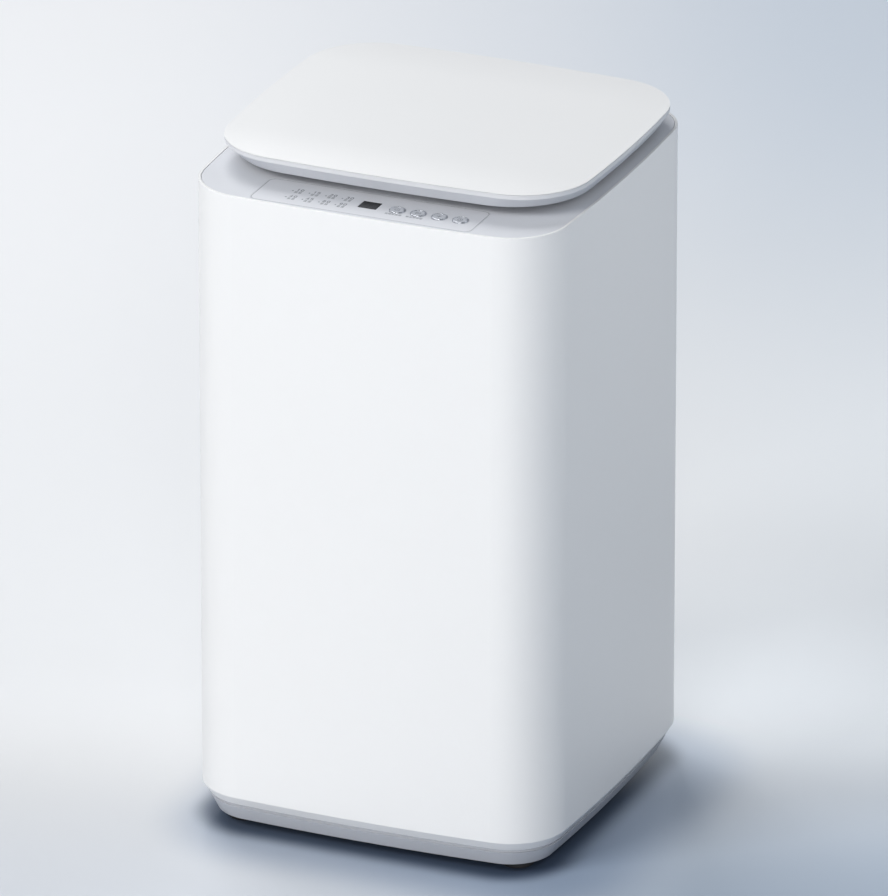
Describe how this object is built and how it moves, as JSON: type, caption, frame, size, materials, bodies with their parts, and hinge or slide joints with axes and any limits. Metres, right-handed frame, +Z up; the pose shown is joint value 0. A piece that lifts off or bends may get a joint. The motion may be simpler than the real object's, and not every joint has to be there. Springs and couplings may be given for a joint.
{
  "type": "shoe washer",
  "caption": "Compact top-loading shoe washer with a floating hinged lid, a suspended tub, a spin basket and a brush post.",
  "frame": {"origin": "on the floor, under the centre of the cabinet", "axes": "+Z up, -Y to the front where the control panel is, +X to the right seen from the front"},
  "size_m": [0.4098, 0.4099, 0.7338],
  "materials": {
    "cabinet_white": "satin white moulded plastic",
    "lid_white": "satin white moulded plastic",
    "deck_grey": "fine matt light grey moulded plastic",
    "panel_film": "matt printed film",
    "base_grey": "matt mid grey moulded plastic",
    "black_rubber": "matt",
    "dark_window": "gloss dark tinted",
    "lamp_clear": "clear light pipe, unlit",
    "button_chrome": "satin chromed ring and disc",
    "circuit_board": "green solder mask",
    "black_plastic": "fine matt moulded plastic",
    "white_plastic": "matt white moulded plastic",
    "tub_plastic": "filled polypropylene",
    "basket_steel": "brushed stainless",
    "hub_aluminium": "die cast",
    "shaft_steel": "ground steel",
    "spring_steel": "oiled spring steel",
    "motor_steel": "dark painted steel",
    "belt_rubber": "matt black rubber",
    "pulsator_plastic": "satin pale blue-grey plastic",
    "bristle_nylon": "soft blue nylon",
    "seal_rubber": "grey silicone rubber",
    "hose_rubber": "matt black rubber",
    "magnet_metal": "plated"
  },
  "bodies": {
    "cabinet": {"cabinet_shell": "cabinet_white", "base_frame": "base_grey", "rubber_feet": "black_rubber", "top_deck": "deck_grey", "control_overlay": "panel_film", "display_window": "dark_window", "indicator_lamps": "lamp_clear", "control_board": "circuit_board", "control_housing": "white_plastic", "inlet_recess": "base_grey", "water_inlet_valve": "white_plastic", "fill_hose": "hose_rubber", "drain_recess": "base_grey", "drain_outlet": "white_plastic", "drain_hose": "hose_rubber", "cord_gland": "black_plastic", "pump_housing": "white_plastic", "pump_motor": "black_plastic", "drain_bellows": "hose_rubber", "rear_cover": "cabinet_white", "case_screws": "shaft_steel", "power_board_case": "white_plastic", "power_board": "circuit_board", "level_sensor": "white_plastic", "lid_switch": "black_plastic", "hanger_cups": "black_plastic", "suspension_rods": "shaft_steel", "suspension_springs": "spring_steel", "hinge_brackets": "deck_grey"},
    "tub": {"outer_tub": "tub_plastic", "tub_ring": "tub_plastic", "shaft_seal": "hose_rubber", "clutch_housing": "hub_aluminium", "shaft_bearings": "shaft_steel", "motor_plate": "shaft_steel", "motor_housing": "motor_steel", "drive_belt": "belt_rubber", "suspension_dampers": "black_plastic"},
    "basket": {"wash_basket": "basket_steel", "balance_ring": "white_plastic", "spin_hub": "hub_aluminium", "lint_filter": "white_plastic"},
    "pulsator": {"pulsator": "pulsator_plastic", "brush_post": "pulsator_plastic", "brush_bristles": "bristle_nylon", "drive_shaft": "shaft_steel", "drive_pulley": "hub_aluminium", "pulley_nut": "shaft_steel"},
    "motor_rotor": {"motor_shaft": "shaft_steel", "motor_pulley": "shaft_steel"},
    "impeller": {"pump_impeller": "black_plastic"},
    "lid": {"lid_cover": "lid_white", "lid_liner": "lid_white", "lid_seal": "seal_rubber", "hinge_pins": "shaft_steel", "lid_magnet": "magnet_metal"},
    "key_1": {"button_1": "button_chrome"},
    "key_2": {"button_2": "button_chrome"},
    "key_3": {"button_3": "button_chrome"},
    "key_4": {"button_4": "button_chrome"}
  },
  "joints": [
    {"name": "lid_hinge", "type": "hinge", "parent": "cabinet", "child": "lid", "pos_m": [0, 0.188, 0.7206], "axis": [-1, 0, 0], "range_deg": [0, 95]},
    {"name": "tub_travel", "type": "slide", "parent": "cabinet", "child": "tub", "axis": [0, 0, 1], "range_m": [-0.005, 0.005], "stiffness_N_per_m": 9000, "springref_m": 0.01543, "deforming": ["suspension_springs", "drain_bellows"]},
    {"name": "basket_spin", "type": "hinge", "parent": "tub", "child": "basket", "pos_m": [0, 0.018, 0.196], "axis": [0, 0, 1], "continuous": true},
    {"name": "pulsator_spin", "type": "hinge", "parent": "tub", "child": "pulsator", "pos_m": [0, 0.018, 0.204], "axis": [0, 0, 1], "continuous": true},
    {"name": "motor_spin", "type": "hinge", "parent": "tub", "child": "motor_rotor", "pos_m": [-0.108, 0.018, 0.1], "axis": [0, 0, 1], "continuous": true},
    {"name": "impeller_spin", "type": "hinge", "parent": "cabinet", "child": "impeller", "pos_m": [0.085, -0.075, 0.042], "axis": [0, 0, 1], "continuous": true},
    {"name": "key_1_press", "type": "slide", "parent": "cabinet", "child": "key_1", "axis": [0, 0, -1], "range_m": [0, 0.0008], "stiffness_N_per_m": 450, "springref_m": -0.001},
    {"name": "key_2_press", "type": "slide", "parent": "cabinet", "child": "key_2", "axis": [0, 0, -1], "range_m": [0, 0.0008], "stiffness_N_per_m": 450, "springref_m": -0.001},
    {"name": "key_3_press", "type": "slide", "parent": "cabinet", "child": "key_3", "axis": [0, 0, -1], "range_m": [0, 0.0008], "stiffness_N_per_m": 450, "springref_m": -0.001},
    {"name": "key_4_press", "type": "slide", "parent": "cabinet", "child": "key_4", "axis": [0, 0, -1], "range_m": [0, 0.0008], "stiffness_N_per_m": 450, "springref_m": -0.001}
  ],
  "couplings": [
    {"joint": "motor_spin", "follows": "pulsator_spin", "ratio": 3}
  ]
}
